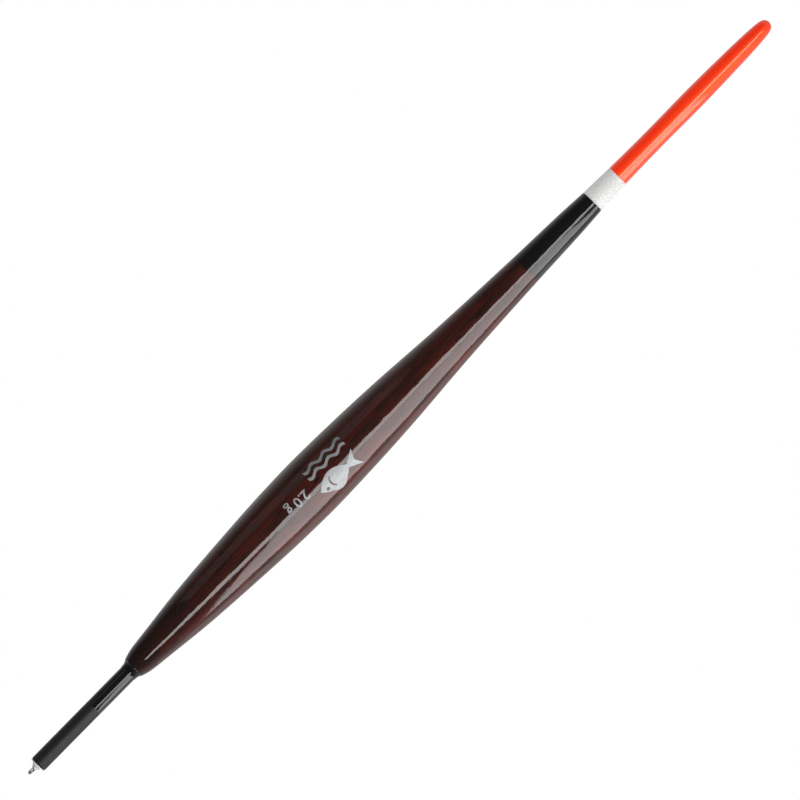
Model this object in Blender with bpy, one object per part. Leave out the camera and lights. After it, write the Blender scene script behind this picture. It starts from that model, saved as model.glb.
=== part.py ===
"""Slim wooden fishing float with a push-on antenna, built from its separate pieces.

The float stands upright, as it does in the water. The origin is the middle of its line eye, and +Z runs up
its axis to the nose of the antenna. All lengths are in metres. Every piece but the line eye is turned: its
outline, as (radius, height) points, goes down the outside and up the bore, and is spun about the axis.
"""

import math

import bmesh
import bpy
from mathutils import Vector

MM = 0.001
SIDES = 32
WELD = 0.001 * MM

# Driving dimensions
OVERALL_LENGTH = 140 * MM
EYE_DIAMETER = 1.25 * MM
WIRE_DIAMETER = 0.25 * MM
EYE_TURN = math.radians(73)
STEM_DIAMETER = 2.38 * MM
STEM_END = 1.17 * MM
BODY_BASE = 19.33 * MM
BODY_LENGTH = 86.6 * MM
BODY_DIAMETER = 8.49 * MM
FERRULE_LENGTH = 4.72 * MM
ANTENNA_DIAMETER = 3.04 * MM
STEM_BORE = 1.6 * MM
PEG_DIAMETER = 1.5 * MM

# Clearances: a glued or pushed fit round the axis, a butt joint along it, and epoxy cast against a piece
FIT_GAP = 0.05 * MM
BUTT_GAP = 0.05 * MM
EPOXY_GAP = 0.02 * MM
FEATHER_EDGE = 0.03 * MM

# How far the hidden ends reach
STEM_IN_BODY = 22.7 * MM
PEG_IN_BODY = 31.9 * MM
PEG_IN_ANTENNA = 7.7 * MM
SHANK_LENGTH = 4.2 * MM
GLUE_DEPTH = 4.8 * MM
COLLAR_LENGTH = 1.15 * MM

# Heights that follow from them
STEM_TOP = BODY_BASE + STEM_IN_BODY
BODY_TOP = BODY_BASE + BODY_LENGTH
FERRULE_BASE = BODY_TOP + BUTT_GAP
FERRULE_TOP = FERRULE_BASE + FERRULE_LENGTH
ANTENNA_BASE = FERRULE_TOP + BUTT_GAP
ANTENNA_LENGTH = OVERALL_LENGTH - EYE_DIAMETER / 2 - ANTENNA_BASE
PEG_BASE = BODY_TOP - PEG_IN_BODY
PEG_TOP = ANTENNA_BASE + PEG_IN_ANTENNA

# Radii that follow from them
STEM_RADIUS = STEM_DIAMETER / 2
BODY_RADIUS = BODY_DIAMETER / 2
ANTENNA_RADIUS = ANTENNA_DIAMETER / 2
PEG_RADIUS = PEG_DIAMETER / 2
PEG_SOCKET = PEG_RADIUS + FIT_GAP
STEM_SOCKET = STEM_RADIUS + FIT_GAP
WIRE_RADIUS = WIRE_DIAMETER / 2
SHANK_TWIST = 0.145 * MM
SHANK_BORE = SHANK_TWIST + WIRE_RADIUS + 0.04 * MM

# Outlines as (share of the length, share of the greatest radius), from the bottom up
BODY_SHAPE = (
    (0.0, 0.379),
    (0.015, 0.46),
    (0.05, 0.547),
    (0.13, 0.728),
    (0.25, 0.90),
    (0.33, 0.98),
    (0.41, 1.0),
    (0.55, 0.896),
    (0.70, 0.684),
    (0.85, 0.532),
    (0.95, 0.454),
    (1.0, 0.395),
)
ANTENNA_SHAPE = (
    (0.0, 1.0),
    (0.10, 0.962),
    (0.25, 0.938),
    (0.52, 0.965),
    (0.75, 0.884),
    (0.87, 0.805),
    (0.945, 0.70),
    (0.97, 0.627),
    (0.98, 0.56),
)


def clear_scene():
    for thing in list(bpy.data.objects):
        bpy.data.objects.remove(thing, do_unlink=True)


def finish(name, colour, roughness, metallic=0.0):
    """A material with one colour (linear red, green, blue), roughness and metallic value."""
    material = bpy.data.materials.new(name)
    material.use_nodes = True
    shader = material.node_tree.nodes["Principled BSDF"]
    shader.inputs["Base Color"].default_value = (*colour, 1.0)
    shader.inputs["Roughness"].default_value = roughness
    shader.inputs["Metallic"].default_value = metallic
    return material


def smooth_outline(shape, length, radius, steps):
    """A smooth curve through the shape's points, as (radius, height) pairs from the bottom up."""
    last = len(shape) - 1
    slopes = []
    for i in range(last + 1):
        below, above = shape[max(i - 1, 0)], shape[min(i + 1, last)]
        slopes.append((above[1] - below[1]) / (above[0] - below[0]))
    curve = []
    for i in range(last):
        (low, start), (high, end) = shape[i], shape[i + 1]
        span = high - low
        for k in range(steps):
            s = k / steps
            rise = (3 - 2 * s) * s * s
            leave = s * (1 - s) * (1 - s) * span * slopes[i]
            arrive = s * s * (s - 1) * span * slopes[i + 1]
            share = start + (end - start) * rise + leave + arrive
            curve.append((share * radius, (low + span * s) * length))
    curve.append((shape[-1][1] * radius, shape[-1][0] * length))
    return curve


def arc(centre, radius, start, end, steps):
    """Points along an arc in a plane, both ends included; angles in degrees from the first axis."""
    points = []
    for k in range(steps + 1):
        angle = math.radians(start + (end - start) * k / steps)
        points.append((centre[0] + radius * math.cos(angle), centre[1] + radius * math.sin(angle)))
    return points


def turned(name, outline, height, material):
    """Spins an outline about Z: solid if it starts on the axis, and closed on itself if it doesn't."""
    mesh = bpy.data.meshes.new(name)
    shape = bmesh.new()
    points = [shape.verts.new((radius, 0.0, z)) for radius, z in outline]
    edges = [shape.edges.new(pair) for pair in zip(points, points[1:])]
    if outline[0][0] > 0:
        edges.append(shape.edges.new((points[-1], points[0])))
    bmesh.ops.spin(shape, geom=points + edges, axis=(0, 0, 1), angle=2 * math.pi, steps=SIDES)
    bmesh.ops.remove_doubles(shape, verts=shape.verts, dist=WELD)
    bmesh.ops.recalc_face_normals(shape, faces=shape.faces)
    shape.to_mesh(mesh)
    shape.free()
    mesh.shade_smooth()
    mesh.set_sharp_from_angle(angle=math.radians(35))
    mesh.materials.append(material)
    piece = bpy.data.objects.new(name, mesh)
    piece.location = (0, 0, height)
    bpy.context.collection.objects.link(piece)
    return piece


def body():
    """Balsa body: a fat lower third and a long slender neck, drilled at its ends for stem and peg."""
    outside = smooth_outline(BODY_SHAPE, BODY_LENGTH, BODY_RADIUS, 3)
    stem_hole = STEM_IN_BODY + BUTT_GAP
    peg_hole = BODY_LENGTH - PEG_IN_BODY - BUTT_GAP
    outline = [
        (0.0, peg_hole),
        (PEG_SOCKET, peg_hole),
        (PEG_SOCKET, BODY_LENGTH),
        *outside[::-1],
        (STEM_SOCKET, 0.0),
        (STEM_SOCKET, stem_hole),
        (0.0, stem_hole),
    ]
    wood = finish("dark_lacquered_balsa", (0.032, 0.009, 0.006), 0.12)
    return turned("body", outline, BODY_BASE, wood)


def stem_tube():
    """Black tube that the float is gripped by, blunted at its lower end and glued in the body above."""
    blunt, bore = 0.22 * MM, STEM_BORE / 2
    length = STEM_TOP - STEM_END
    corner = arc((STEM_RADIUS - blunt, blunt), blunt, 0, -90, 4)
    outline = [(bore, length), (STEM_RADIUS, length), *corner, (bore, 0.0)]
    black = finish("black_composite_tube", (0.012, 0.012, 0.013), 0.45)
    return turned("stem_tube", outline, STEM_END, black)


def antenna_peg():
    """Glass-fibre rod glued down the wooden neck to stiffen it; its top end is the peg of the antenna."""
    bevel = 0.2 * MM
    length = PEG_TOP - PEG_BASE
    outline = [
        (0.0, length),
        (PEG_RADIUS - bevel, length),
        (PEG_RADIUS, length - bevel),
        (PEG_RADIUS, bevel),
        (PEG_RADIUS - bevel, 0.0),
        (0.0, 0.0),
    ]
    glass_fibre = finish("glass_fibre_rod", (0.62, 0.60, 0.48), 0.4)
    return turned("antenna_peg", outline, PEG_BASE, glass_fibre)


def base_collar():
    """Black epoxy fillet that seals the stem into the body and carries one outline into the other."""
    bore = STEM_RADIUS + EPOXY_GAP
    bottom, top = bore + FEATHER_EDGE, BODY_SHAPE[0][1] * BODY_RADIUS
    steps, sweep = 7, 2.9
    flare = []
    for k in range(steps + 1):
        share = k / steps
        flare.append((bottom + (top - bottom) * share**sweep, COLLAR_LENGTH * share))
    outline = flare[::-1] + [(bore, 0.0), (bore, COLLAR_LENGTH)]
    epoxy = finish("black_epoxy", (0.008, 0.008, 0.008), 0.2)
    return turned("base_collar", outline, BODY_BASE - BUTT_GAP - COLLAR_LENGTH, epoxy)


def ferrule():
    """White plastic ring glued on the peg: it caps the end grain of the neck and is the antenna's seat."""
    edge = 0.04 * MM
    low, high = BODY_SHAPE[-1][1] * BODY_RADIUS, ANTENNA_RADIUS
    outline = [
        (PEG_SOCKET, FERRULE_LENGTH),
        (high - edge, FERRULE_LENGTH),
        (high, FERRULE_LENGTH - edge),
        (low, edge),
        (low - edge, 0.0),
        (PEG_SOCKET, 0.0),
    ]
    white = finish("white_plastic", (0.82, 0.82, 0.82), 0.6)
    return turned("ferrule", outline, FERRULE_BASE, white)


def antenna():
    """Hollow orange tip, moulded with a tapering bore: it pushes over the peg and pulls off again."""
    taper = smooth_outline(ANTENNA_SHAPE, ANTENNA_LENGTH, ANTENNA_RADIUS, 3)
    rim_radius, rim_height = taper[-1]
    rise = ANTENNA_LENGTH - rim_height
    nose_radius = (rim_radius**2 + rise**2) / (2 * rise)
    rim_angle = math.degrees(math.asin((nose_radius - rise) / nose_radius))
    nose = arc((0, ANTENNA_LENGTH - nose_radius), nose_radius, 90, rim_angle, 6)
    peg_depth, bore_depth, tip_bore = PEG_IN_ANTENNA + 0.3 * MM, 0.8 * ANTENNA_LENGTH, 0.45 * MM
    bore = [
        (PEG_SOCKET, 0.0),
        (PEG_SOCKET, peg_depth),
        (tip_bore, bore_depth),
        (0.6 * tip_bore, bore_depth + 0.35 * MM),
        (0.0, bore_depth + 0.5 * MM),
    ]
    outline = [(0.0, nose[0][1]), *nose[1:-1], *taper[::-1], *bore]
    orange = finish("orange_antenna_plastic", (0.90, 0.075, 0.012), 0.15)
    return turned("antenna", outline, ANTENNA_BASE, orange)


def eye_glue():
    """Clear epoxy that plugs the stem's lower end round the eye's shank and stands out as a small cone."""
    bead, rim = STEM_END - BUTT_GAP, 0.36 * MM
    tip = STEM_END - 0.78 * MM
    cone = [
        (STEM_RADIUS - 0.10 * MM, bead),
        (STEM_RADIUS - 0.13 * MM, bead - 0.12 * MM),
        (STEM_RADIUS - 0.42 * MM, bead - 0.36 * MM),
        (rim, tip),
        (SHANK_BORE, tip),
    ]
    top = STEM_END + GLUE_DEPTH
    shank_top = STEM_END + SHANK_LENGTH + 0.1 * MM
    plug_radius = STEM_BORE / 2 - FIT_GAP
    plug = [(0.0, top), (plug_radius, top), (plug_radius, bead)]
    outline = [*plug, *cone, (SHANK_BORE, shank_top), (0.0, shank_top)]
    clear = finish("clear_epoxy", (0.78, 0.80, 0.78), 0.15)
    return turned("eye_glue", outline, 0.0, clear)


def eye_route():
    """The eye wire's centre line: down one twisted leg, round the loop and back up the other leg."""
    loop_radius = (EYE_DIAMETER - WIRE_DIAMETER) / 2
    bend = 0.4 * MM
    bend_x = SHANK_TWIST + bend
    throat = math.sqrt((loop_radius + bend) ** 2 - bend_x**2)
    lean = math.degrees(math.atan2(throat, bend_x))
    half = arc((bend_x, throat), bend, 180, 180 + lean, 5)
    half += arc((0, 0), loop_radius, lean, -90, 10)[1:]
    plane = [(x, 0.0, z) for x, z in half]
    plane += [(-x, 0.0, z) for x, _, z in reversed(plane[:-1])]
    length, pitch, steps = STEM_END + SHANK_LENGTH - throat, 2.6 * MM, 24
    leg = []
    for k in range(steps, 0, -1):
        climb = length * k / steps
        turn = 2 * math.pi * climb / pitch
        leg.append((SHANK_TWIST * math.cos(turn), SHANK_TWIST * math.sin(turn), throat + climb))
    other = [(-x, -y, z) for x, y, z in reversed(leg)]
    return leg + plane + other


def wire_eye():
    """Line eye, bent from one length of stainless wire with its two legs twisted together in the glue."""
    route = eye_route()
    curve = bpy.data.curves.new("wire_eye", "CURVE")
    curve.dimensions = "3D"
    curve.bevel_depth = WIRE_RADIUS
    curve.bevel_resolution = 2
    curve.use_fill_caps = True
    spline = curve.splines.new("POLY")
    spline.points.add(len(route) - 1)
    for point, place in zip(spline.points, route):
        point.co = (*place, 1.0)
    curve.materials.append(finish("stainless_wire", (0.62, 0.62, 0.60), 0.25, 1.0))
    piece = bpy.data.objects.new("wire_eye", curve)
    piece.rotation_euler = (0, 0, EYE_TURN)
    bpy.context.collection.objects.link(piece)
    return piece


def holder(name, place, pieces):
    """An empty at a body's reference point, with the body's pieces parented to it where they stand."""
    empty = bpy.data.objects.new(name, None)
    empty.empty_display_size = 5 * MM
    empty.location = place
    bpy.context.collection.objects.link(empty)
    for piece in pieces:
        piece.parent = empty
        piece.location = piece.location - Vector(place)
    return empty


clear_scene()
holder(
    "float_axis",
    (0, 0, 0),
    [body(), stem_tube(), antenna_peg(), base_collar(), ferrule(), eye_glue(), wire_eye()],
)
holder("antenna_axis", (0, 0, ANTENNA_BASE), [antenna()])
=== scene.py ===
"""Looks of a slim wooden fishing float, made piece by piece around its fixed frame.

The float stands upright: the origin is the middle of its line eye, and +Z runs up to the antenna's nose.
Its foil print faces -Y. Lengths are in metres, written as millimetres times MM.
"""

import math

import bpy
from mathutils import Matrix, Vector


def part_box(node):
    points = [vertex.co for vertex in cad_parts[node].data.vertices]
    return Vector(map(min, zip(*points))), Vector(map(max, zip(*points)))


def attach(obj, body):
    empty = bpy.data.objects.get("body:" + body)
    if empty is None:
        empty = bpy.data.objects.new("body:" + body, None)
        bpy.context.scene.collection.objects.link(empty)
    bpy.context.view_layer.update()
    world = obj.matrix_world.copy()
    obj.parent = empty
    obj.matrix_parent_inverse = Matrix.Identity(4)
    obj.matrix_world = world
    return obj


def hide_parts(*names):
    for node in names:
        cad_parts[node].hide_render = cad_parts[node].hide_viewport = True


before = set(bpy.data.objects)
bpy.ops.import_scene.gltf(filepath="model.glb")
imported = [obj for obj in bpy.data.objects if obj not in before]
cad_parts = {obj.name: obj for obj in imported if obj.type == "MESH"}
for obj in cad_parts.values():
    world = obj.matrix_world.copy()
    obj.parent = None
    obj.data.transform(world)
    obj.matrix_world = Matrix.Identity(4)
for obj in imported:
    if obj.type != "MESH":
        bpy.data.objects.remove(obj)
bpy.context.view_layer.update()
bpy.ops.object.select_all(action="DESELECT")

# --------------------------------------------------------------------------------------------------
# Line eye. One length of hard stainless wire, bent round a pin to a small loop for the line. Its two
# legs are twisted together and glued up the stem, so only the loop and its throat show.
# --------------------------------------------------------------------------------------------------
MM = 0.001
WIRE_RADIUS = 0.125 * MM
LOOP_RADIUS = 0.5 * MM
THROAT_BEND = 0.4 * MM
LEG_TWIST = 0.145 * MM
TWIST_PITCH = 2.6 * MM
EYE_TURN = math.radians(73)


def arc(centre, radius, start, end, steps):
    """Points along an arc in a plane, both ends included; angles in degrees from the first axis."""
    points = []
    for k in range(steps + 1):
        angle = math.radians(start + (end - start) * k / steps)
        points.append((centre[0] + radius * math.cos(angle), centre[1] + radius * math.sin(angle)))
    return points


def draw_line(name, points):
    """A line of edges, drawn in edit mode: one vertex, extruded from each point to the next."""
    bpy.ops.mesh.primitive_plane_add(size=MM)
    piece = bpy.context.object
    piece.name = name
    bpy.ops.object.mode_set(mode="EDIT")
    bpy.ops.mesh.merge(type="CENTER")
    bpy.ops.transform.translate(value=points[0])
    for start, end in zip(points, points[1:]):
        step = Vector(end) - Vector(start)
        bpy.ops.mesh.extrude_region_move(TRANSFORM_OT_translate={"value": step})
    bpy.ops.object.mode_set(mode="OBJECT")
    return piece


def linear(code):
    """An sRGB hex colour as linear red, green, blue and alpha."""
    channels = [int(code[k : k + 2], 16) / 255 for k in (1, 3, 5)]
    return [*(c / 12.92 if c <= 0.04045 else ((c + 0.055) / 1.055) ** 2.4 for c in channels), 1.0]


def add_node(tree, kind, inputs, **settings):
    """Adds a node. Each input, by name or number, is given a value, or linked if it is given a socket."""
    node = tree.nodes.new("ShaderNode" + kind)
    for name, value in settings.items():
        setattr(node, name, value)
    for name, value in inputs.items():
        if isinstance(value, bpy.types.NodeSocket):
            tree.links.new(value, node.inputs[name])
        else:
            node.inputs[name].default_value = value
    return node


def new_finish(name):
    """An empty material, its node tree and its object coordinates."""
    finish = bpy.data.materials.new(name)
    finish.use_nodes = True
    tree = finish.node_tree
    tree.nodes.clear()
    place = add_node(tree, "TexCoord", {}).outputs["Object"]
    return finish, tree, place


def close_finish(tree, inputs):
    """Ends a material in one Principled shader with these inputs."""
    shader = add_node(tree, "BsdfPrincipled", inputs)
    add_node(tree, "OutputMaterial", {"Surface": shader.outputs[0]})


def drawn_stainless_wire():
    """Stainless spring wire, drawn through a die: bright, with faint marks that break up its shine."""
    finish, tree, place = new_finish("drawn_stainless_wire")
    marks = add_node(tree, "TexNoise", {"Vector": place, "Scale": 1 / (0.15 * MM), "Detail": 3.0})
    sheen = add_node(tree, "MapRange", {0: marks.outputs[0], "To Min": 0.16, "To Max": 0.34})
    close_finish(
        tree,
        {"Base Color": linear("#918F8B"), "Metallic": 1.0, "Roughness": sheen.outputs[0]},
    )
    return finish


def eye_route():
    """The wire's centre line: down one leg, round the loop and back up the other leg."""
    bend_x = LEG_TWIST + THROAT_BEND
    throat = math.sqrt((LOOP_RADIUS + THROAT_BEND) ** 2 - bend_x**2)
    lean = math.degrees(math.atan2(throat, bend_x))
    half = arc((bend_x, throat), THROAT_BEND, 180, 180 + lean, 8)
    half += arc((0, 0), LOOP_RADIUS, lean, -90, 20)[1:]
    plane = [(x, 0.0, z) for x, z in half]
    plane += [(-x, 0.0, z) for x, _, z in reversed(plane[:-1])]
    leg_top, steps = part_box("wire_eye")[1].z - WIRE_RADIUS / 2, 40
    leg = []
    for k in range(steps, 0, -1):
        climb = (leg_top - throat) * k / steps
        turn = 2 * math.pi * climb / TWIST_PITCH
        leg.append((LEG_TWIST * math.cos(turn), LEG_TWIST * math.sin(turn), throat + climb))
    return leg + plane + [(-x, -y, z) for x, y, z in reversed(leg)]


def bend_wire():
    """The route as a curve with a round section, made a mesh and turned to its place."""
    piece = draw_line("eye_wire", eye_route())
    bpy.ops.object.convert(target="CURVE")
    piece.data.bevel_depth = WIRE_RADIUS
    piece.data.bevel_resolution = 6
    piece.data.use_fill_caps = True
    bpy.ops.object.convert(target="MESH")
    piece = bpy.context.object
    piece.rotation_euler = (0, 0, EYE_TURN)
    bpy.ops.object.transform_apply(location=False, rotation=True, scale=False)
    bpy.ops.object.shade_smooth_by_angle(angle=math.radians(40))
    piece.data.materials.append(drawn_stainless_wire())
    return piece


eye_wire = bend_wire()
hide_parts("wire_eye")
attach(eye_wire, "float")

# --------------------------------------------------------------------------------------------------
# Glue of the eye. Clear epoxy, run up the stem's bore round the twisted legs. What is left over draws
# itself into a hollow-sided bead between the wire and the tube's end.
# --------------------------------------------------------------------------------------------------
LEG_CHANNEL = 0.31 * MM
GLUE_TIP = 0.39 * MM
GLUE_RIM = 0.12 * MM
GLUE_LIP = 0.03 * MM
TUBE_GAP = 0.05 * MM
HOLLOW_RADIUS = 1.154 * MM
HOLLOW_CENTRE = (1.46 * MM, GLUE_TIP - 0.35 * MM)
PLUG_RADIUS = 0.75 * MM
PLUG_BEVEL = 0.1 * MM
PLUG_CAP = 0.5 * MM


def turn_piece(name, outline, sides):
    """Spins an outline of (radius, height) points about the float's axis, as on a lathe."""
    piece = draw_line(name, [(radius, 0.0, height) for radius, height in outline])
    bpy.ops.object.mode_set(mode="EDIT")
    bpy.ops.mesh.select_all(action="SELECT")
    bpy.ops.mesh.spin(steps=sides, angle=2 * math.pi, center=(0, 0, 0), axis=(0, 0, 1))
    bpy.ops.mesh.select_all(action="SELECT")
    bpy.ops.mesh.remove_doubles(threshold=0.0002 * MM)
    bpy.ops.mesh.normals_make_consistent(inside=False)
    bpy.ops.object.mode_set(mode="OBJECT")
    bpy.ops.object.shade_smooth_by_angle(angle=math.radians(35))
    return piece


def clear_epoxy():
    """Cured epoxy: clear with a milky cloud in it, and smooth, because it set without being touched."""
    finish, tree, place = new_finish("clear_cured_epoxy")
    cloud = add_node(tree, "TexNoise", {"Vector": place, "Scale": 1 / (0.5 * MM), "Detail": 2.0})
    body = add_node(tree, "MapRange", {0: cloud.outputs[0], "To Min": 0.08, "To Max": 0.18})
    close_finish(
        tree,
        {
            "Base Color": linear("#F6F7F5"),
            "Roughness": body.outputs[0],
            "IOR": 1.52,
            "Transmission Weight": 0.55,
        },
    )
    return finish


glue_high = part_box("eye_glue")[1]
rim = glue_high.x
bead_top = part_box("stem_tube")[0].z - TUBE_GAP
hollow = arc(HOLLOW_CENTRE, HOLLOW_RADIUS, 162, 107, 12)
glue_outline = [
    (0.0, glue_high.z),
    (PLUG_RADIUS - PLUG_BEVEL, glue_high.z),
    (PLUG_RADIUS, glue_high.z - PLUG_BEVEL),
    (PLUG_RADIUS, bead_top),
    (rim, bead_top),
    (rim - GLUE_LIP, bead_top - GLUE_RIM),
    *hollow[::-1],
    (LEG_CHANNEL, GLUE_TIP),
    (LEG_CHANNEL, glue_high.z - PLUG_CAP),
    (0.0, glue_high.z - PLUG_CAP),
]
glue_plug = turn_piece("glue_plug", glue_outline, 64)
glue_plug.data.materials.append(clear_epoxy())
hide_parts("eye_glue")
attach(glue_plug, "float")

# --------------------------------------------------------------------------------------------------
# Stem. A black glass-filled tube that the float is gripped by. It was held by its lower end while the
# float was dipped, so that end stays bare and matt, and the clear lacquer starts at a fine bead above it.
# --------------------------------------------------------------------------------------------------
DIP_LINE = 11.78 * MM
STEM_BORE = 0.8 * MM
BORE_MARGIN = 0.1 * MM
BLUNT_EDGE = 0.22 * MM
BARE_STEP = 0.012 * MM
BEAD_RADIUS = 0.007 * MM
BEAD_HEIGHT = 0.07 * MM
FILM_START = 0.35
FILM_RUN = 2.4 * MM


def bare_black_tube():
    """Extruded black composite: matt, with hair-fine lines along it from the die."""
    finish, tree, place = new_finish("bare_black_composite")
    along = add_node(tree, "Mapping", {"Vector": place, "Scale": (1.0, 1.0, 0.06)})
    lines = add_node(
        tree,
        "TexNoise",
        {"Vector": along.outputs[0], "Scale": 1 / (0.12 * MM), "Detail": 4.0},
    )
    grit = add_node(tree, "TexNoise", {"Vector": place, "Scale": 1 / (0.2 * MM), "Detail": 2.0})
    tone = add_node(
        tree,
        "MixRGB",
        {0: grit.outputs[0], 1: linear("#101012"), 2: linear("#1C1C1E")},
    )
    rough = add_node(tree, "MapRange", {0: lines.outputs[0], "To Min": 0.42, "To Max": 0.58})
    relief = add_node(
        tree,
        "Bump",
        {"Height": lines.outputs[0], "Distance": 0.004 * MM, "Strength": 0.5},
    )
    close_finish(
        tree,
        {
            "Base Color": tone.outputs[0],
            "Roughness": rough.outputs[0],
            "IOR": 1.45,
            "Normal": relief.outputs[0],
        },
    )
    return finish


def lacquered_black_tube():
    """The same tube under a clear dip lacquer: wet gloss, drawn slightly uneven along the tube."""
    finish, tree, place = new_finish("lacquered_black_composite")
    along = add_node(tree, "Mapping", {"Vector": place, "Scale": (1.0, 1.0, 0.35)})
    ripple = add_node(
        tree,
        "TexNoise",
        {"Vector": along.outputs[0], "Scale": 1 / (0.8 * MM), "Detail": 1.0},
    )
    film = add_node(tree, "Bump", {"Height": ripple.outputs[0], "Distance": 0.004 * MM, "Strength": 1.0})
    close_finish(
        tree,
        {
            "Base Color": linear("#121213"),
            "Roughness": 0.5,
            "Specular IOR Level": 0.0,
            "Coat Weight": 1.0,
            "Coat Roughness": 0.05,
            "Coat IOR": 1.5,
            "Coat Normal": film.outputs[0],
        },
    )
    return finish


stem_low, stem_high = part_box("stem_tube")
stem_radius = stem_high.x
bare_radius = stem_radius - BARE_STEP
foot = arc((bare_radius - BLUNT_EDGE, stem_low.z + BLUNT_EDGE), BLUNT_EDGE, -90, 0, 8)
film_bead = arc((bare_radius, DIP_LINE + BEAD_HEIGHT), BEAD_RADIUS, -90, 60, 6)
film = []
for k in range(1, 11):
    share = k / 10
    thickness = BARE_STEP * (FILM_START + (1 - FILM_START) * share)
    film.append((bare_radius + thickness, DIP_LINE + BEAD_HEIGHT + FILM_RUN * share))
stem_outline = [
    (STEM_BORE, stem_low.z),
    *foot,
    (bare_radius, DIP_LINE),
    *film_bead,
    *film,
    (stem_radius, stem_high.z),
    (STEM_BORE, stem_high.z),
    (STEM_BORE, stem_low.z),
]
stem = turn_piece("grip_stem", stem_outline, 96)
stem.data.materials.append(bare_black_tube())
stem.data.materials.append(lacquered_black_tube())
for face in stem.data.polygons:
    outside = face.center.xy.length > STEM_BORE + BORE_MARGIN
    face.material_index = int(outside and face.center.z > DIP_LINE)
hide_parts("stem_tube")
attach(stem, "float")

# --------------------------------------------------------------------------------------------------
# Base collar. A fillet of black epoxy, wiped round the joint of stem and body while the float turned, so
# it leaves the stem in a feather edge and meets the wood in one flowing line.
# --------------------------------------------------------------------------------------------------
COLLAR_GAP = 0.02 * MM
COLLAR_FEATHER = 0.03 * MM
COLLAR_SWEEP = 2.9


def gloss_black_epoxy():
    """Pigmented epoxy under the same lacquer: deep black with a wet gloss."""
    finish, tree, place = new_finish("gloss_black_epoxy")
    sag = add_node(tree, "TexNoise", {"Vector": place, "Scale": 1 / (1.2 * MM), "Detail": 1.0})
    skin = add_node(tree, "Bump", {"Height": sag.outputs[0], "Distance": 0.008 * MM, "Strength": 1.0})
    close_finish(
        tree,
        {
            "Base Color": linear("#0F0F10"),
            "Roughness": 0.4,
            "Specular IOR Level": 0.0,
            "Coat Weight": 1.0,
            "Coat Roughness": 0.06,
            "Coat IOR": 1.5,
            "Coat Normal": skin.outputs[0],
        },
    )
    return finish


collar_low, collar_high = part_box("base_collar")
collar_bore = stem_radius + COLLAR_GAP
collar_length = collar_high.z - collar_low.z
collar_spread = collar_high.x - collar_bore - COLLAR_FEATHER
flare = []
for k in range(25):
    share = k / 24
    radius = collar_bore + COLLAR_FEATHER + collar_spread * share**COLLAR_SWEEP
    flare.append((radius, collar_low.z + collar_length * share))
collar_outline = [
    (collar_bore, collar_low.z),
    *flare,
    (collar_bore, collar_high.z),
    (collar_bore, collar_low.z),
]
collar = turn_piece("epoxy_collar", collar_outline, 96)
collar.data.materials.append(gloss_black_epoxy())
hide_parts("base_collar")
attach(collar, "float")

# --------------------------------------------------------------------------------------------------
# Body. Turned from one stick of balsa and sanded, stained dark brown, drilled at both ends. The neck is
# painted black, and then the whole float is dipped in clear lacquer, which dries to a wet gloss with a
# faint swell.
# --------------------------------------------------------------------------------------------------
BODY_SHAPE = (
    (0.0, 0.379),
    (0.015, 0.46),
    (0.05, 0.547),
    (0.13, 0.728),
    (0.25, 0.90),
    (0.33, 0.98),
    (0.41, 1.0),
    (0.55, 0.896),
    (0.70, 0.684),
    (0.85, 0.532),
    (0.95, 0.454),
    (1.0, 0.395),
)
PAINT_LINE = 93.3 * MM
PAINT_WANDER = 0.5 * MM
PAINT_BLUR = 0.45 * MM
# Painted shade: between these two x positions the wood darkens towards -X, the side away from the lights.
SHADE_DARKEST_X, SHADE_CLEAR_X = -1.0 * MM, 3.4 * MM
# Between these two heights the wood is made darker towards the foot.
FOOT_DARK_LOW, FOOT_DARK_HIGH = 20 * MM, 42 * MM
SOCKET_GAP = 0.05 * MM


def smooth_outline(shape, low, high, radius, steps):
    """A smooth curve through (share of length, share of radius) points, as (radius, height) pairs."""
    last = len(shape) - 1
    slopes = []
    for i in range(last + 1):
        below, above = shape[max(i - 1, 0)], shape[min(i + 1, last)]
        slopes.append((above[1] - below[1]) / (above[0] - below[0]))
    curve = []
    for i in range(last):
        (near, start), (far, end) = shape[i], shape[i + 1]
        span = far - near
        for k in range(steps):
            s = k / steps
            rise = (3 - 2 * s) * s * s
            leave = s * (1 - s) * (1 - s) * span * slopes[i]
            arrive = s * s * (s - 1) * span * slopes[i + 1]
            share = start + (end - start) * rise + leave + arrive
            curve.append((share * radius, low + (near + span * s) * (high - low)))
    curve.append((shape[-1][1] * radius, high))
    return curve


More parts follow.
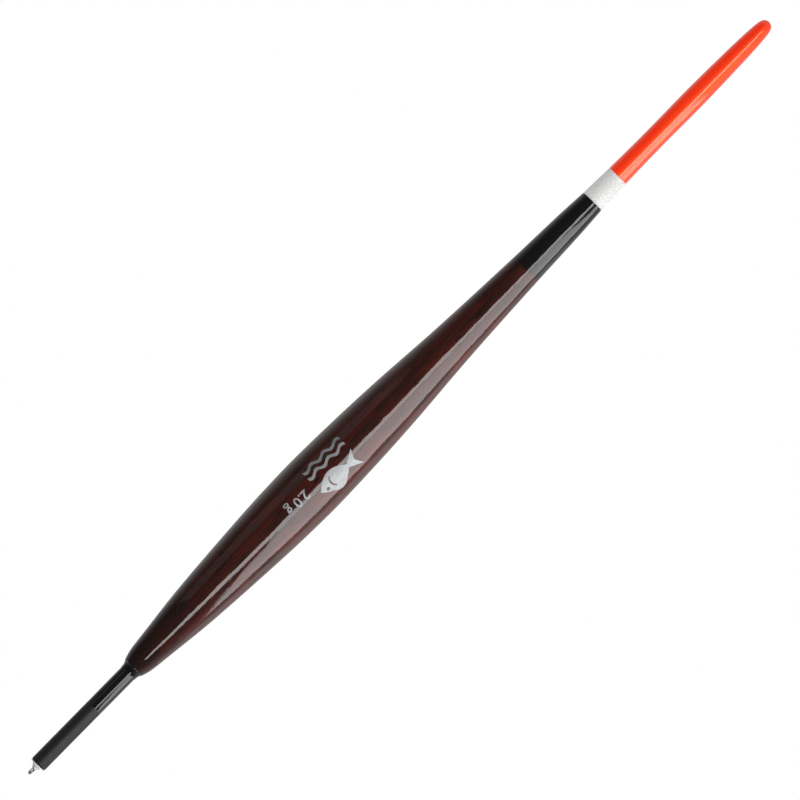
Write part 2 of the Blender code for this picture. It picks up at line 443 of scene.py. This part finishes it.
def lacquered_balsa():
    """Stained balsa under gloss lacquer: brown-black, with reddish streaks and short dark pores along the
    grain. Painted shade darkens the side away from the lights, the wood is darker towards the foot, and
    the neck's paint has an uneven edge.
    """
    finish, tree, place = new_finish("lacquered_stained_balsa")
    along = add_node(tree, "Mapping", {"Vector": place, "Scale": (1.0, 1.0, 0.14)})
    streaks = add_node(
        tree,
        "TexNoise",
        {"Vector": along.outputs[0], "Scale": 1 / (0.9 * MM), "Detail": 4.0, "Roughness": 0.6},
    )
    streak = add_node(
        tree,
        "MapRange",
        {0: streaks.outputs[0], "From Min": 0.35, "From Max": 0.68},
        interpolation_type="SMOOTHSTEP",
    )
    broad = add_node(tree, "Mapping", {"Vector": place, "Scale": (1.0, 1.0, 0.3)})
    patches = add_node(
        tree,
        "TexNoise",
        {"Vector": broad.outputs[0], "Scale": 1 / (2.6 * MM), "Detail": 2.0},
    )
    patch = add_node(tree, "MapRange", {0: patches.outputs[0], "From Min": 0.3, "From Max": 0.7})
    long_pores = add_node(tree, "Mapping", {"Vector": place, "Scale": (1.0, 1.0, 0.1)})
    pores = add_node(
        tree,
        "TexNoise",
        {"Vector": long_pores.outputs[0], "Scale": 1 / (0.22 * MM), "Detail": 1.0},
    )
    pore = add_node(tree, "MapRange", {0: pores.outputs[0], "From Min": 0.6, "From Max": 0.72})
    brown = add_node(tree, "MixRGB", {0: patch.outputs[0], 1: linear("#22150F"), 2: linear("#3D1C17")})
    red = add_node(tree, "MixRGB", {0: streak.outputs[0], 1: brown.outputs[0], 2: linear("#521B15")})
    pitted = add_node(tree, "MixRGB", {0: pore.outputs[0], 1: red.outputs[0], 2: linear("#1D0E0C")})
    axes = add_node(tree, "SeparateXYZ", {"Vector": place})
    height = axes.outputs["Z"]
    # Painted shade: the side towards -X, away from the lights, is mixed towards near-black; the wood is
    # also made darker towards the foot.
    painted_side_shade = add_node(
        tree,
        "MapRange",
        {
            0: axes.outputs["X"],
            "From Min": SHADE_DARKEST_X,
            "From Max": SHADE_CLEAR_X,
            "To Min": 0.55,
            "To Max": 0.0,
        },
        interpolation_type="SMOOTHSTEP",
    )
    foot = add_node(
        tree,
        "MapRange",
        {0: height, "From Min": FOOT_DARK_LOW, "From Max": FOOT_DARK_HIGH, "To Min": 0.42, "To Max": 0.0},
    )
    side_shade_and_foot_dark = add_node(tree, "Math", {0: painted_side_shade.outputs[0], 1: foot.outputs[0]}, operation="ADD")
    # The stained wood with the painted shade and the darkening towards the foot mixed in.
    stained = add_node(tree, "MixRGB", {0: side_shade_and_foot_dark.outputs[0], 1: pitted.outputs[0], 2: linear("#17110F")})
    edge = add_node(tree, "TexNoise", {"Vector": place, "Scale": 1 / (1.6 * MM), "Detail": 2.0})
    wander = add_node(
        tree,
        "Math",
        {0: edge.outputs[0], 1: PAINT_WANDER, 2: height},
        operation="MULTIPLY_ADD",
    )
    paint = add_node(
        tree,
        "MapRange",
        {0: wander.outputs[0], "From Min": PAINT_LINE, "From Max": PAINT_LINE + PAINT_BLUR},
        interpolation_type="SMOOTHSTEP",
    )
    colour = add_node(tree, "MixRGB", {0: paint.outputs[0], 1: stained.outputs[0], 2: linear("#111112")})
    slow = add_node(tree, "Mapping", {"Vector": place, "Scale": (1.0, 1.0, 0.35)})
    swell = add_node(
        tree,
        "TexNoise",
        {"Vector": slow.outputs[0], "Scale": 1 / (1.7 * MM), "Detail": 2.0},
    )
    sunk = add_node(
        tree,
        "Bump",
        {"Height": streaks.outputs[0], "Distance": 0.022 * MM, "Strength": 1.0},
    )
    film = add_node(
        tree,
        "Bump",
        {"Height": swell.outputs[0], "Distance": 0.018 * MM, "Strength": 1.0, "Normal": sunk.outputs[0]},
    )
    close_finish(
        tree,
        {
            "Base Color": colour.outputs[0],
            "Roughness": 0.55,
            "Specular IOR Level": 0.0,
            "Coat Weight": 1.0,
            "Coat Roughness": 0.07,
            "Coat IOR": 1.5,
            "Coat Normal": film.outputs[0],
        },
    )
    return finish


body_low, body_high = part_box("body")
peg_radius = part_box("antenna_peg")[1].x
stem_socket = stem_radius + SOCKET_GAP
peg_socket = peg_radius + SOCKET_GAP
stem_hole = stem_high.z + SOCKET_GAP
peg_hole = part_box("antenna_peg")[0].z - SOCKET_GAP
fullest = max(radius for radius, _ in smooth_outline(BODY_SHAPE, 0, 1, 1, 12))
skin_line = smooth_outline(BODY_SHAPE, body_low.z, body_high.z, body_high.x / fullest, 12)
body_outline = [
    (0.0, peg_hole),
    (peg_socket, peg_hole),
    (peg_socket, body_high.z),
    *skin_line[::-1],
    (stem_socket, body_low.z),
    (stem_socket, stem_hole),
    (0.0, stem_hole),
]
balsa_body = turn_piece("balsa_body", body_outline, 144)
balsa_body.data.materials.append(lacquered_balsa())
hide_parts("body")
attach(balsa_body, "float")

# --------------------------------------------------------------------------------------------------
# Foil print. Silver foil, stamped hot onto the body: a plain fish over two waves, and the load in grams.
# It is thinner than a hair and follows the round of the wood.
# --------------------------------------------------------------------------------------------------
FOIL_THICKNESS = 0.012 * MM
FOIL_LIFT = 0.004 * MM
CUT_STEP = 0.25 * MM
EMBLEM_HEIGHT = 56.7 * MM
EMBLEM_ROUND = 0.5 * MM
LOAD_HEIGHT = 50.2 * MM
LOAD_ROUND = 0.1 * MM
LOAD_SIZE = 1.95 * MM
LOAD_SWELL = 0.03 * MM


def stamped_silver_foil():
    """Vacuum-metallised foil, stamped on: a soft silver that shows some of the wood's grain."""
    finish, tree, place = new_finish("stamped_silver_foil")
    along = add_node(tree, "Mapping", {"Vector": place, "Scale": (1.0, 1.0, 0.2)})
    grain = add_node(
        tree,
        "TexNoise",
        {"Vector": along.outputs[0], "Scale": 1 / (0.3 * MM), "Detail": 3.0},
    )
    sheen = add_node(tree, "MapRange", {0: grain.outputs[0], "To Min": 0.6, "To Max": 0.8})
    tone = add_node(tree, "MixRGB", {0: grain.outputs[0], 1: linear("#85878A"), 2: linear("#D0D2D4")})
    relief = add_node(tree, "Bump", {"Height": grain.outputs[0], "Distance": 0.01 * MM, "Strength": 1.0})
    close_finish(
        tree,
        {
            "Base Color": tone.outputs[0],
            "Metallic": 1.0,
            "Roughness": sheen.outputs[0],
            "Normal": relief.outputs[0],
        },
    )
    return finish


def skin_radius(height):
    """The body's radius at a height, read between the points of its turned outline."""
    for (low_radius, low), (high_radius, high) in zip(skin_line, skin_line[1:]):
        if low <= height <= high:
            return low_radius + (high_radius - low_radius) * (height - low) / (high - low)
    return skin_line[-1][0]


def flat_shape(name, outlines):
    """A flat filled curve from closed outlines; an outline inside another is a hole."""
    bpy.ops.curve.primitive_bezier_circle_add()
    shape = bpy.context.object
    shape.name = name
    shape.data.dimensions = "2D"
    shape.data.fill_mode = "BOTH"
    shape.data.splines.clear()
    for outline in outlines:
        spline = shape.data.splines.new("POLY")
        spline.points.add(len(outline) - 1)
        spline.use_cyclic_u = True
        for point, (x, y) in zip(spline.points, outline):
            point.co = (x, y, 0.0, 1.0)
    return shape


def stamp(shape, height, round_by, foil):
    """Makes a flat shape a mesh, cuts it fine enough to bend, and lays it on the body."""
    bpy.ops.object.select_all(action="DESELECT")
    shape.select_set(True)
    bpy.context.view_layer.objects.active = shape
    bpy.ops.object.convert(target="MESH")
    piece = bpy.context.object
    reach = max(max(abs(v.co.x), abs(v.co.y)) for v in piece.data.vertices)
    cuts = range(-int(reach / CUT_STEP), int(reach / CUT_STEP) + 1)
    bpy.ops.object.mode_set(mode="EDIT")
    for cut in cuts:
        for across in ((1, 0, 0), (0, 1, 0)):
            bpy.ops.mesh.select_all(action="SELECT")
            bpy.ops.mesh.bisect(plane_co=Vector(across) * cut * CUT_STEP, plane_no=across)
    bpy.ops.mesh.select_all(action="SELECT")
    bpy.ops.mesh.remove_doubles(threshold=0.001 * MM)
    bpy.ops.object.mode_set(mode="OBJECT")
    for vertex in piece.data.vertices:
        z = height - vertex.co.x
        radius = skin_radius(z)
        angle = (round_by + vertex.co.y) / radius
        lifted = radius + FOIL_LIFT
        vertex.co = (lifted * math.sin(angle), -lifted * math.cos(angle), z)
    wall = piece.modifiers.new("thickness", "SOLIDIFY")
    wall.thickness = FOIL_THICKNESS
    wall.offset = 1.0
    bpy.ops.object.modifier_apply(modifier=wall.name)
    bpy.ops.object.shade_smooth_by_angle(angle=math.radians(30))
    piece.data.materials.append(foil)
    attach(piece, "float")
    return piece


def fish_outlines():
    """A plain fish that swims to the right, with an eye and a gill left open, over two waves."""
    length, depth, root, rise, steps = 5.0 * MM, 1.25 * MM, 0.28 * MM, 1.0 * MM, 28
    tail_x, tail_notch, tail_end, tail_half = -1.55 * MM, -2.8 * MM, -3.45 * MM, 1.35 * MM
    fin_height = 0.45 * MM
    back, belly = [], []
    for k in range(steps + 1):
        share = k / steps
        half = root * (1 - share) + depth * math.sin(math.pi * share) ** 0.85
        fin_share = min(max((share - 0.2) / 0.5, 0.0), 1.0)
        fin = fin_height * math.sin(math.pi * fin_share) ** 0.6
        back.append((tail_x + length * share, rise + half + fin))
        belly.append((tail_x + length * share, rise - half))
    tail = [(tail_end, rise - tail_half), (tail_notch, rise), (tail_end, rise + tail_half)]
    eye = arc((2.4 * MM, rise + 0.35 * MM), 0.27 * MM, 0, 330, 11)
    gill = arc((0.7 * MM, rise), 1.0 * MM, -55, 55, 10)
    gill += arc((0.42 * MM, rise), 1.0 * MM, 48, -48, 10)
    wave_width, wave_length, wave_swing, wave_half = 6.8 * MM, 2.27 * MM, 0.24 * MM, 0.23 * MM
    waves = []
    for middle in (-1.45 * MM, -2.5 * MM):
        top, bottom = [], []
        for k in range(49):
            x = wave_width * (k / 48 - 0.5)
            lift = middle + wave_swing * math.sin(2 * math.pi * x / wave_length)
            top.append((x, lift + wave_half))
            bottom.append((x, lift - wave_half))
        waves.append(top + bottom[::-1])
    return [back[::-1] + tail[::-1] + belly, eye, gill, *waves]


silver = stamped_silver_foil()
stamp(flat_shape("foil_fish", fish_outlines()), EMBLEM_HEIGHT, EMBLEM_ROUND, silver)

bpy.ops.object.text_add()
load_mark = bpy.context.object
load_mark.name = "foil_load_mark"
load_mark.data.body = "2.0 g"
load_mark.data.size = LOAD_SIZE
load_mark.data.align_x = "CENTER"
load_mark.data.align_y = "CENTER"
load_mark.data.offset = LOAD_SWELL
stamp(load_mark, LOAD_HEIGHT, LOAD_ROUND, silver)

# --------------------------------------------------------------------------------------------------
# Peg. A pultruded glass-fibre rod, glued down the thin wooden neck to stiffen it. It shows only when the
# antenna is pulled off: pale straw, with its fibres running along it.
# --------------------------------------------------------------------------------------------------
PEG_BEVEL = 0.2 * MM


def glass_fibre_rod():
    """Pultruded glass fibre in polyester: milky straw colour, satin from grinding. The fibres are drawn
    0.1 mm apart, coarser than the real ones, so that they show.
    """
    finish, tree, place = new_finish("pultruded_glass_fibre")
    along = add_node(tree, "Mapping", {"Vector": place, "Scale": (1.0, 1.0, 0.03)})
    fibres = add_node(
        tree,
        "TexNoise",
        {"Vector": along.outputs[0], "Scale": 1 / (0.1 * MM), "Detail": 3.0},
    )
    tone = add_node(tree, "MixRGB", {0: fibres.outputs[0], 1: linear("#B9AE84"), 2: linear("#ECE6CC")})
    rough = add_node(tree, "MapRange", {0: fibres.outputs[0], "To Min": 0.3, "To Max": 0.5})
    relief = add_node(
        tree,
        "Bump",
        {"Height": fibres.outputs[0], "Distance": 0.006 * MM, "Strength": 1.0},
    )
    close_finish(
        tree,
        {
            "Base Color": tone.outputs[0],
            "Roughness": rough.outputs[0],
            "IOR": 1.55,
            "Subsurface Weight": 0.3,
            "Subsurface Radius": (0.6, 0.5, 0.35),
            "Subsurface Scale": 0.5 * MM,
            "Normal": relief.outputs[0],
        },
    )
    return finish


peg_low, peg_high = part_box("antenna_peg")
peg_outline = [
    (0.0, peg_low.z),
    *arc((peg_radius - PEG_BEVEL, peg_low.z + PEG_BEVEL), PEG_BEVEL, -90, 0, 5),
    *arc((peg_radius - PEG_BEVEL, peg_high.z - PEG_BEVEL), PEG_BEVEL, 0, 90, 5),
    (0.0, peg_high.z),
]
peg = turn_piece("fibre_peg", peg_outline, 64)
peg.data.materials.append(glass_fibre_rod())
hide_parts("antenna_peg")
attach(peg, "float")

# --------------------------------------------------------------------------------------------------
# Ferrule. A short taper ring cut from white plastic tube and glued on the peg. It caps the end grain of
# the neck and is the seat that the antenna pushes down to. It isn't dipped, so it stays matt.
# --------------------------------------------------------------------------------------------------
FERRULE_EDGE = 0.04 * MM


def matt_white_plastic():
    """White polypropylene tube: matt and waxy, with faint marks round it from cutting and sanding. A
    faint white glow is painted light, so the shaded side stays pale.
    """
    finish, tree, place = new_finish("matt_white_polypropylene")
    flat_grain = add_node(tree, "Mapping", {"Vector": place, "Scale": (0.15, 0.15, 1.0)})
    marks = add_node(
        tree,
        "TexNoise",
        {"Vector": flat_grain.outputs[0], "Scale": 1 / (0.14 * MM), "Detail": 3.0},
    )
    tone = add_node(tree, "MixRGB", {0: marks.outputs[0], 1: linear("#A5A5A4"), 2: linear("#B0B0AF")})
    rough = add_node(tree, "MapRange", {0: marks.outputs[0], "To Min": 0.5, "To Max": 0.7})
    relief = add_node(tree, "Bump", {"Height": marks.outputs[0], "Distance": 0.001 * MM, "Strength": 1.0})
    close_finish(
        tree,
        {
            "Base Color": tone.outputs[0],
            "Roughness": rough.outputs[0],
            "IOR": 1.49,
            "Subsurface Weight": 0.8,
            "Subsurface Radius": (1.0, 1.0, 1.0),
            "Subsurface Scale": 2.0 * MM,
            # Painted light: a faint white glow, not a lamp, that keeps the shaded side pale.
            "Emission Color": linear("#FFFFFF"),
            "Emission Strength": 0.19,
            "Normal": relief.outputs[0],
        },
    )
    return finish


ferrule_low, ferrule_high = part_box("ferrule")
antenna_low, antenna_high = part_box("antenna")
antenna_radius = antenna_high.x
seat_radius = ferrule_high.x
ferrule_outline = [
    (peg_socket, ferrule_low.z),
    *arc((seat_radius - FERRULE_EDGE, ferrule_low.z + FERRULE_EDGE), FERRULE_EDGE, -90, 0, 4),
    *arc((antenna_radius - FERRULE_EDGE, ferrule_high.z - FERRULE_EDGE), FERRULE_EDGE, 0, 90, 4),
    (peg_socket, ferrule_high.z),
    (peg_socket, ferrule_low.z),
]
ferrule = turn_piece("white_ferrule", ferrule_outline, 96)
ferrule.data.materials.append(matt_white_plastic())
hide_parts("ferrule")
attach(ferrule, "float")

# --------------------------------------------------------------------------------------------------
# Antenna. A hollow tip, moulded in fluorescent orange so that it is seen on the water. Its bore tapers,
# and it pushes over the peg down to the ferrule and pulls off again. It is the one piece that moves.
# --------------------------------------------------------------------------------------------------
ANTENNA_SHAPE = (
    (0.0, 1.0),
    (0.10, 0.962),
    (0.25, 0.938),
    (0.52, 0.965),
    (0.75, 0.884),
    (0.87, 0.805),
    (0.945, 0.70),
    (0.97, 0.627),
    (0.98, 0.56),
)
PEG_DEPTH = 8.0 * MM
TIP_BORE = 0.45 * MM
BORE_SHARE = 0.8
BORE_DOME = 0.5 * MM
MOUTH_EDGE = 0.08 * MM


def fluorescent_orange():
    """Glossy moulded plastic with a steady orange glow: partly its fluorescence, partly painted light on
    the shaded side.
    """
    finish, tree, place = new_finish("moulded_fluorescent_orange")
    flow = add_node(tree, "Mapping", {"Vector": place, "Scale": (1.0, 1.0, 0.2)})
    pigment = add_node(
        tree,
        "TexNoise",
        {"Vector": flow.outputs[0], "Scale": 1 / (1.1 * MM), "Detail": 2.0},
    )
    tone = add_node(tree, "MixRGB", {0: pigment.outputs[0], 1: linear("#C41501"), 2: linear("#CC1C02")})
    skin = add_node(tree, "Bump", {"Height": pigment.outputs[0], "Distance": 0.006 * MM, "Strength": 1.0})
    close_finish(
        tree,
        {
            "Base Color": tone.outputs[0],
            "Roughness": 0.45,
            "Specular IOR Level": 1.0,
            "Specular Tint": linear("#FFE080"),
            "Coat Weight": 0.8,
            "Coat Roughness": 0.07,
            "Coat IOR": 1.5,
            "Coat Normal": skin.outputs[0],
            # A steady orange glow: partly the pigment's fluorescence, partly painted light that lifts the
            # shaded side.
            "Emission Color": linear("#FF1C00"),
            "Emission Strength": 0.32,
        },
    )
    return finish


antenna_length = antenna_high.z - antenna_low.z
shoulder = antenna_low.z + ANTENNA_SHAPE[-1][0] * antenna_length
taper_shape = [(share / ANTENNA_SHAPE[-1][0], radius) for share, radius in ANTENNA_SHAPE]
taper = smooth_outline(taper_shape, antenna_low.z, shoulder, antenna_radius, 12)
shoulder_radius, rise = taper[-1][0], antenna_high.z - shoulder
nose_radius = (shoulder_radius**2 + rise**2) / (2 * rise)
nose_angle = math.degrees(math.asin((nose_radius - rise) / nose_radius))
nose = arc((0, antenna_high.z - nose_radius), nose_radius, nose_angle, 90, 16)
bore_top = antenna_low.z + BORE_SHARE * antenna_length
outer_edge = MOUTH_EDGE / 2
antenna_outline = [
    (0.0, bore_top + BORE_DOME),
    (0.6 * TIP_BORE, bore_top + 0.7 * BORE_DOME),
    (TIP_BORE, bore_top),
    (peg_socket, antenna_low.z + PEG_DEPTH),
    (peg_socket, antenna_low.z + MOUTH_EDGE),
    (peg_socket + MOUTH_EDGE, antenna_low.z),
    *arc((antenna_radius - outer_edge, antenna_low.z + outer_edge), outer_edge, -90, 0, 4)[:-1],
    *[point for point in taper if point[1] > antenna_low.z + outer_edge],
    *nose[1:],
]
antenna_tip = turn_piece("orange_antenna", antenna_outline, 96)
antenna_tip.data.materials.append(fluorescent_orange())
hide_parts("antenna")
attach(antenna_tip, "antenna")

# --------------------------------------------------------------------------------------------------
# Studio. A long lens looks straight at the print, rolled so that the float lies along the diagonal. A
# wide and a narrow softbox stand to the right, a small one behind catches the right-hand rim, and a weak
# one fills in from the left. A plain pale floor lies below, out of the camera's sight.
# --------------------------------------------------------------------------------------------------
CAMERA_DISTANCE = 1000 * MM
CAMERA_PLACE = Vector((0.29 * MM, -CAMERA_DISTANCE, 69.3 * MM))
CAMERA_ROLL = math.radians(44.56)
FRAME_WIDTH = 106.1 * MM
SENSOR = 36.0
FLOOR_HEIGHT = -25 * MM
FLOOR_RADIUS = 3000 * MM
PALE_RADIUS, WHITE_RADIUS = 110 * MM, 235 * MM
DARK_ROOM, PALE_ROOM = 0.04, 0.7
CORNER_SHADE = 0.2
DIFFUSE_LOSS = 0.3


def softbox(name, place, facing, width, tall, watts):
    """An upright rectangular light. Facing is how it is turned: 0 at the camera, 90 at its right."""
    turn = (math.pi / 2, 0, math.radians(facing))
    bpy.ops.object.light_add(type="AREA", location=place, rotation=turn)
    box = bpy.context.object
    box.name = name
    box.data.shape = "RECTANGLE"
    box.data.size = width
    box.data.size_y = tall
    box.data.energy = watts
    box.visible_camera = False
    return box


bpy.ops.object.camera_add(location=CAMERA_PLACE, rotation=(math.pi / 2, -CAMERA_ROLL, 0))
camera = bpy.context.object
camera.data.sensor_width = SENSOR
camera.data.lens = SENSOR * CAMERA_DISTANCE / FRAME_WIDTH
camera.data.clip_start = 0.05
bpy.context.scene.camera = camera

softbox("wide_softbox", (211 * MM, -191 * MM, 69 * MM), 90, 352 * MM, 146 * MM, 0.74)
softbox("strip_softbox", (91 * MM, -233 * MM, 73 * MM), 21.3, 66 * MM, 266 * MM, 0.35)
softbox("rim_softbox", (237 * MM, 106 * MM, 50 * MM), 114, 100 * MM, 140 * MM, 0.022)
softbox("fill_softbox", (-210 * MM, -136 * MM, 42 * MM), -57, 150 * MM, 125 * MM, 0.0132)

bpy.ops.mesh.primitive_circle_add(
    vertices=128,
    radius=FLOOR_RADIUS,
    fill_type="NGON",
    location=(0, 0, FLOOR_HEIGHT),
)
floor = bpy.context.object
floor.name = "pale_floor"
floor.visible_glossy = False
paper, paper_tree, paper_place = new_finish("white_paper_sweep")
reach = add_node(paper_tree, "VectorMath", {0: paper_place}, operation="LENGTH")
far = add_node(
    paper_tree,
    "MapRange",
    {0: reach.outputs["Value"], "From Min": PALE_RADIUS, "From Max": WHITE_RADIUS},
    interpolation_type="SMOOTHSTEP",
)
near_paper = add_node(paper_tree, "BsdfDiffuse", {"Color": linear("#F2F2F0")})
far_paper = add_node(paper_tree, "Emission", {"Color": linear("#FFFFFF"), "Strength": 1.0})
sweep = add_node(
    paper_tree,
    "MixShader",
    {0: far.outputs[0], 1: near_paper.outputs[0], 2: far_paper.outputs[0]},
)
add_node(paper_tree, "OutputMaterial", {"Surface": sweep.outputs[0]})
floor.data.materials.append(paper)

# The room is pale behind and above the float, dim straight behind it, and dark behind the camera. It
# gives less light to matt surfaces than to gloss, and what the camera sees of it is white.
room = bpy.data.worlds.new("studio_room")
room.use_nodes = True
room_tree = room.node_tree
room_tree.nodes.clear()
direction = add_node(room_tree, "TexCoord", {}).outputs["Generated"]
axes = add_node(room_tree, "SeparateXYZ", {"Vector": direction})
upright = add_node(room_tree, "Math", {0: axes.outputs["Z"], 1: 0.0}, operation="MAXIMUM")
side = add_node(
    room_tree,
    "Math",
    {0: axes.outputs["X"], 1: 0.25, 2: axes.outputs["Y"]},
    operation="MULTIPLY_ADD",
)
openness = add_node(
    room_tree,
    "Math",
    {0: upright.outputs[0], 1: 1.5, 2: side.outputs[0]},
    operation="MULTIPLY_ADD",
)
brightness = add_node(
    room_tree,
    "MapRange",
    {
        0: openness.outputs[0],
        "From Min": -0.55,
        "From Max": 0.6,
        "To Min": DARK_ROOM,
        "To Max": PALE_ROOM,
    },
    interpolation_type="SMOOTHSTEP",
)
dark_corner = add_node(
    room_tree,
    "MapRange",
    {
        0: axes.outputs["Y"],
        "From Min": 0.88,
        "From Max": 0.97,
        "To Min": 1.0,
        "To Max": CORNER_SHADE,
    },
    interpolation_type="SMOOTHSTEP",
)
room_light = add_node(
    room_tree,
    "Math",
    {0: brightness.outputs[0], 1: dark_corner.outputs[0]},
    operation="MULTIPLY",
)
rays = add_node(room_tree, "LightPath", {})
seen = add_node(
    room_tree,
    "Math",
    {0: rays.outputs["Is Camera Ray"], 1: rays.outputs["Is Transmission Ray"]},
    operation="MAXIMUM",
)
shade = add_node(
    room_tree,
    "MixRGB",
    {0: seen.outputs[0], 1: room_light.outputs[0], 2: linear("#FFFFFF")},
)
dimmed = add_node(
    room_tree,
    "Math",
    {0: rays.outputs["Is Diffuse Ray"], 1: -DIFFUSE_LOSS, 2: 1.0},
    operation="MULTIPLY_ADD",
)
glow = add_node(room_tree, "Background", {"Color": shade.outputs[0], "Strength": dimmed.outputs[0]})
add_node(room_tree, "OutputWorld", {"Surface": glow.outputs[0]})
bpy.context.scene.world = room
bpy.context.scene.view_settings.view_transform = "Standard"
